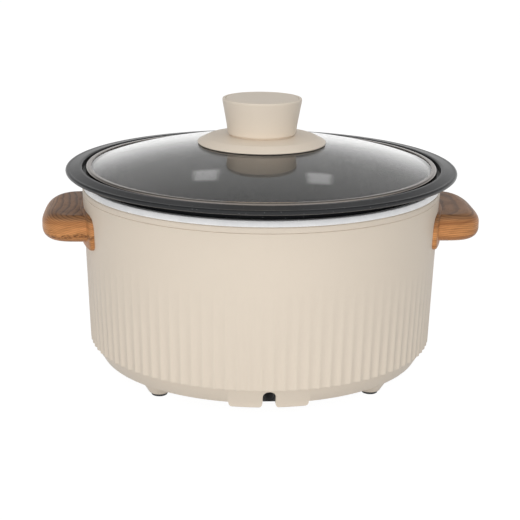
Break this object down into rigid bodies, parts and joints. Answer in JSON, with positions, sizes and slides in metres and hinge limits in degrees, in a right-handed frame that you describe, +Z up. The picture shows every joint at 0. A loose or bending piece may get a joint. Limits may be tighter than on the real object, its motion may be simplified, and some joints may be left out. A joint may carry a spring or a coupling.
{
  "type": "slow cooker",
  "caption": "Round electric slow cooker: fluted tapered housing, lift-out non-stick pot with a wide flange, domed glass lid with a flared knob, two wooden side handles and a rear control dial.",
  "frame": {"origin": "on the table surface, under the middle of the housing", "axes": "+Z up; -Y towards the cord notch, +Y towards the control dial; X through the two carry handles"},
  "size_m": [0.3494, 0.312, 0.2178],
  "materials": {
    "lid_glass": "clear tempered glass with a faint grey tint",
    "rim_steel": "satin stainless steel",
    "silicone": "soft matte silicone",
    "zinc_steel": "zinc-plated steel",
    "brass_insert": "plain brass",
    "cream_plastic": "satin cream plastic, fine moulded texture",
    "nonstick_coating": "dark speckled non-stick coating",
    "liner_aluminium": "satin spun aluminium",
    "cast_plate": "cast and machined aluminium",
    "element_tube": "heat-tinted steel tube",
    "sensor_metal": "drawn aluminium",
    "spring_steel": "spring wire",
    "black_plastic": "matte black heat-resistant plastic",
    "fuse_ceramic": "glazed ceramic",
    "terminal_plastic": "natural white nylon",
    "lead_insulation": "silicone lead insulation",
    "black_rubber": "matte black rubber",
    "handle_wood": "oiled wood grain, satin",
    "panel_plastic": "satin charcoal plastic",
    "lens_amber": "translucent amber plastic",
    "dial_plastic": "satin cream plastic"
  },
  "bodies": {
    "housing": {"outer_shell": "cream_plastic", "top_ring": "cream_plastic", "liner": "liner_aluminium", "liner_screws": "zinc_steel", "heating_plate": "cast_plate", "heater_element": "element_tube", "plate_studs": "zinc_steel", "plate_nuts": "zinc_steel", "heat_shield": "zinc_steel", "sensor_holder": "sensor_metal", "sensor_spring": "spring_steel", "thermostat": "black_plastic", "thermal_fuse": "fuse_ceramic", "terminal_block": "terminal_plastic", "terminal_screws": "brass_insert", "internal_leads": "lead_insulation", "base_cover": "cream_plastic", "base_screws": "zinc_steel", "foot_pads": "black_rubber", "cord_gland": "black_rubber", "left_handle": "handle_wood", "right_handle": "handle_wood", "handle_screws": "zinc_steel", "control_panel": "panel_plastic", "indicator_lens": "lens_amber", "selector_switch": "black_plastic", "switch_nut": "zinc_steel"},
    "lid": {"lid_glass": "lid_glass", "lid_rim": "rim_steel", "lid_gasket": "silicone", "lid_seal": "silicone", "lid_washer": "zinc_steel", "lid_screw": "zinc_steel", "knob_insert": "brass_insert", "knob_brim": "cream_plastic", "knob_grip": "cream_plastic", "knob_cap": "cream_plastic"},
    "pot": {"inner_pot": "nonstick_coating"},
    "dial": {"control_dial": "dial_plastic"},
    "sensor": {"sensor_cap": "sensor_metal"}
  },
  "joints": [
    {"name": "pot_lift", "type": "slide", "parent": "housing", "child": "pot", "axis": [0, 0, 1], "range_m": [0, 0.18]},
    {"name": "lid_lift", "type": "slide", "parent": "pot", "child": "lid", "axis": [0, 0, 1], "range_m": [0, 0.12]},
    {"name": "dial_turn", "type": "hinge", "parent": "housing", "child": "dial", "pos_m": [0, 0.15, 0.062], "axis": [0, -1, 0], "range_deg": [0, 270]},
    {"name": "sensor_press", "type": "slide", "parent": "housing", "child": "sensor", "axis": [0, 0, 1], "range_m": [-0.002, 0], "stiffness_N_per_m": 400, "springref_m": 0.001, "deforming": ["sensor_spring"]}
  ]
}
